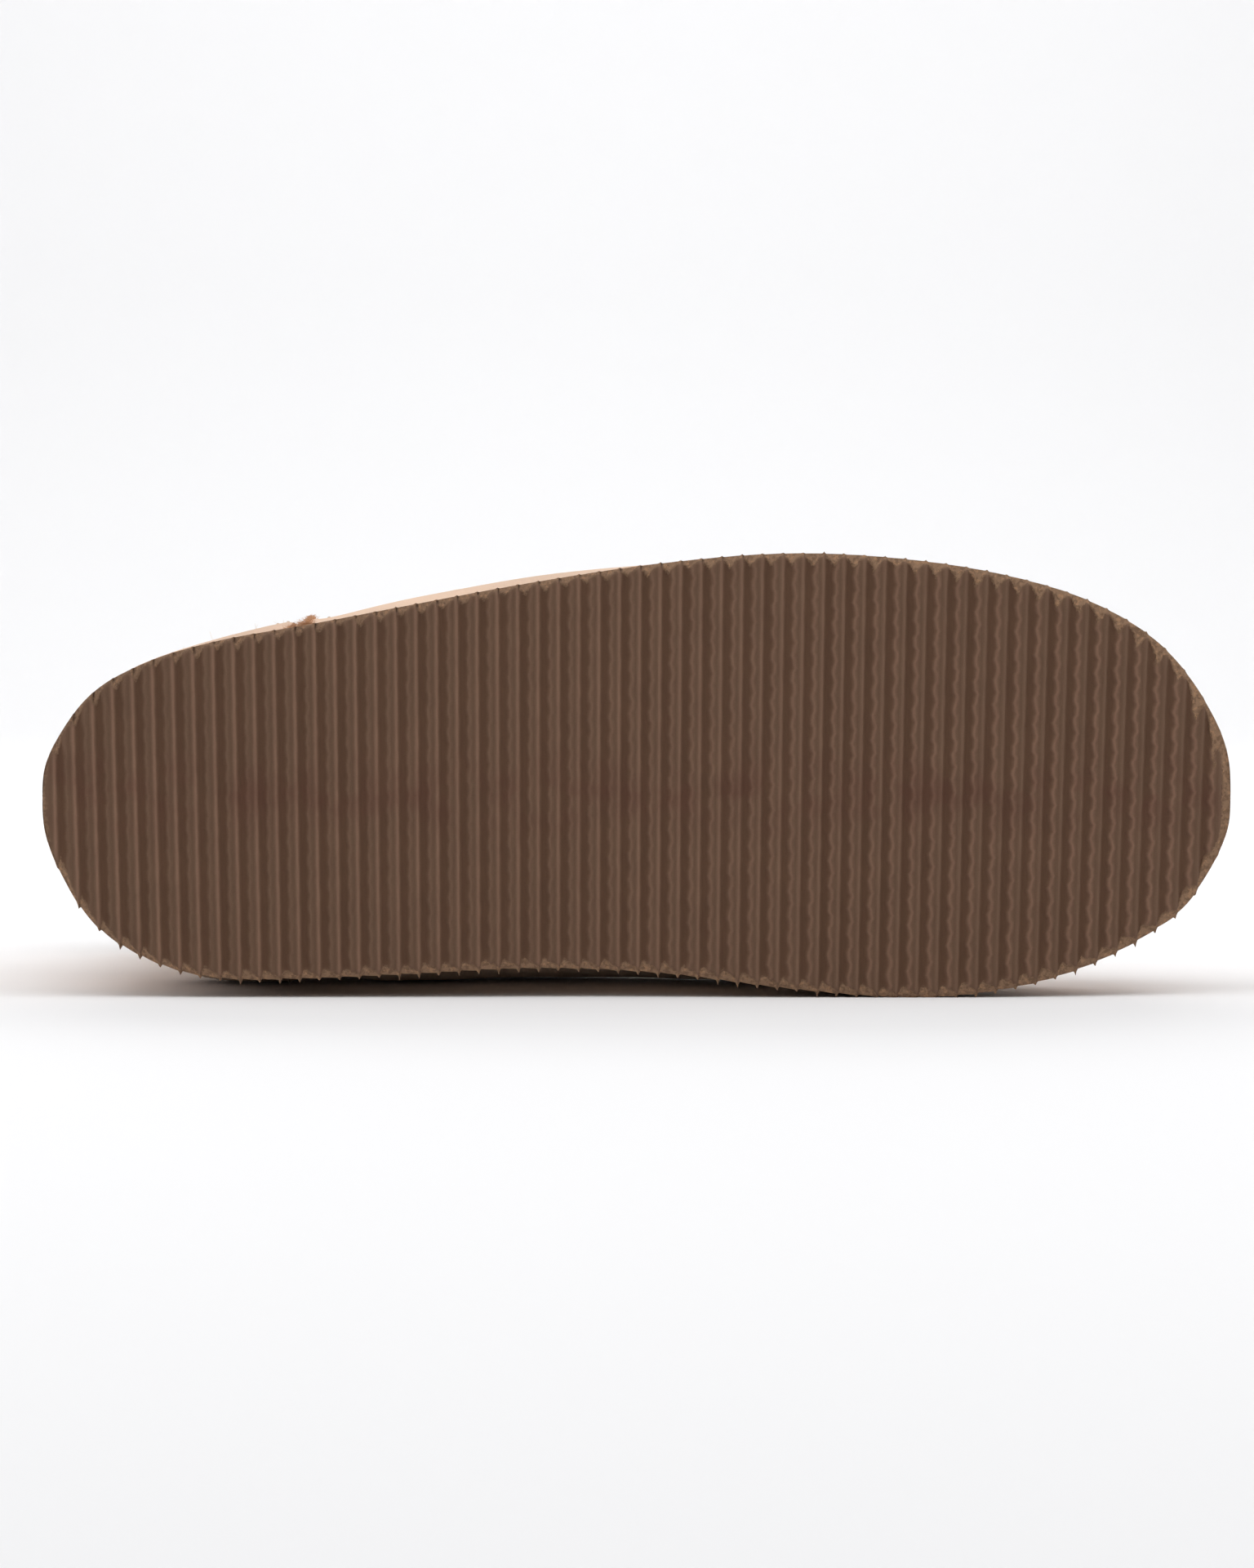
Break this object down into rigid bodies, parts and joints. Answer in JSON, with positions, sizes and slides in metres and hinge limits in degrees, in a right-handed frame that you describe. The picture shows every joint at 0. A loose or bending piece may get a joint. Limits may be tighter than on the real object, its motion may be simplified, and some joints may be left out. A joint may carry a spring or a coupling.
{
  "type": "fur-lined ankle boot",
  "caption": "Fur-lined suede ankle boot for the right foot, pull-on, with a ribbed sponge sole, empty and lying on its inner side.",
  "frame": {"origin": "centre of the bounding box's base, on the floor that the boot lies on", "axes": "+X from heel to toe, +Y from the tread up along the shaft, +Z from the inner side that lies on the floor to the outer side"},
  "size_m": [0.3016, 0.1566, 0.111],
  "materials": {
    "sole_rubber": "matte brown sponge rubber, ribbed, with a sanded paler edge",
    "footbed_fleece": "short cream fleece",
    "suede": "napped pale beige suede",
    "counter_suede": "napped pale beige suede",
    "fleece": "curly cream shearling with tan tips"
  },
  "bodies": {
    "root": {"outsole": "sole_rubber", "footbed": "footbed_fleece", "upper": "suede", "heel_counter": "counter_suede", "fur_collar": "fleece"}
  },
  "joints": []
}
